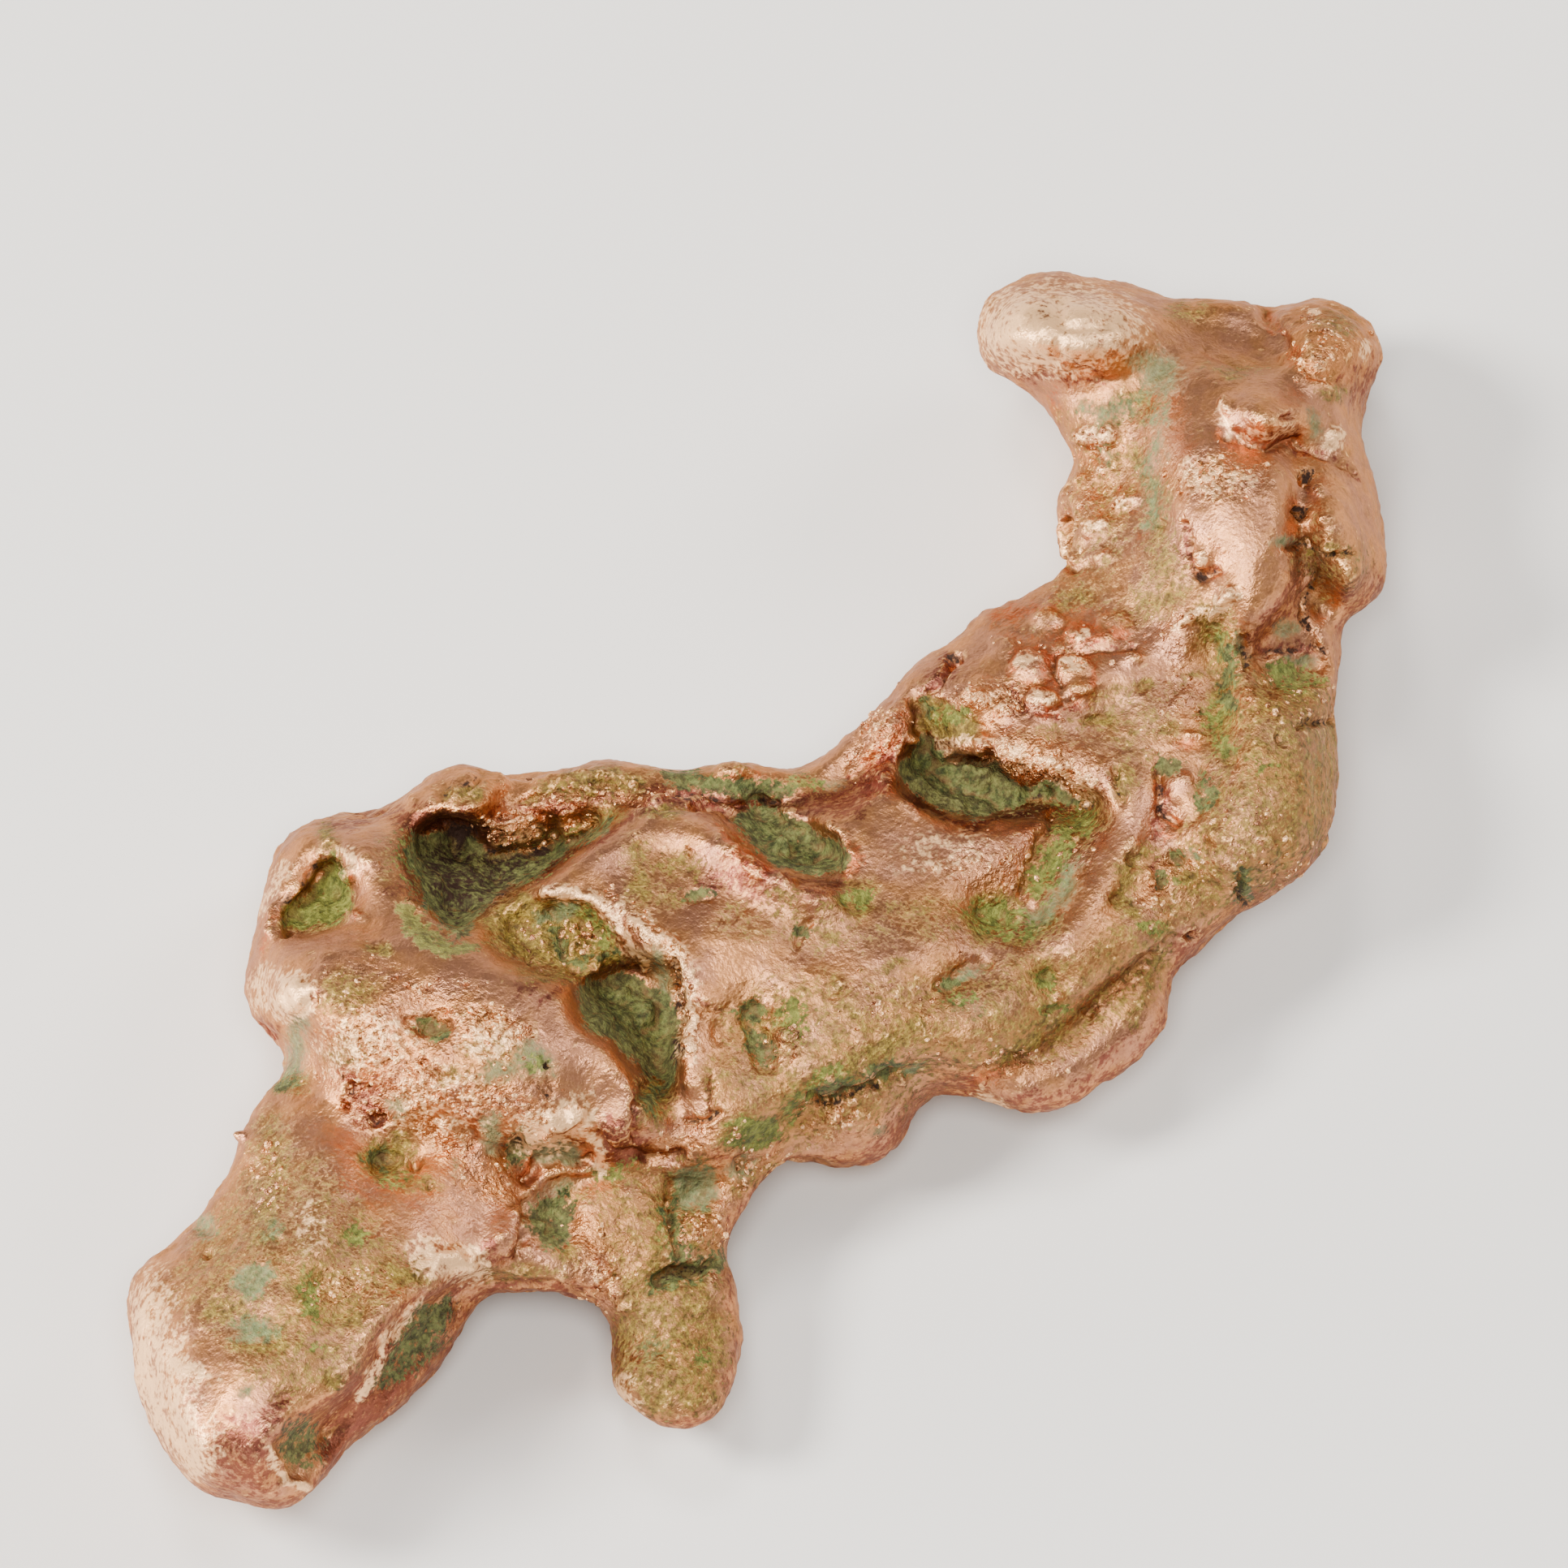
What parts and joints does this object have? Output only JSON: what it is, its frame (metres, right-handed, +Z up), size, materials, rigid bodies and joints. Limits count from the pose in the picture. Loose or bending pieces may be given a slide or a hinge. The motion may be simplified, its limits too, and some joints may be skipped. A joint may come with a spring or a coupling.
{
  "type": "native copper nugget",
  "caption": "Curved lump of native copper with a blunt tail, a side toe, a knobbed head, pits and ledges, resting on its worn underside.",
  "frame": {"origin": "middle of the bounding box's underside, on the ground the nugget rests on", "axes": "+X along the length from the blunt tail to the knobbed head, +Y towards the inside of the bend, +Z up"},
  "size_m": [0.0548, 0.025, 0.0109],
  "materials": {
    "weathered_copper": "tumbled native copper: matte pinkish brown grain with bright worn edges, and green patina in the pits"
  },
  "bodies": {
    "root": {"copper_nugget": "weathered_copper"}
  },
  "joints": []
}
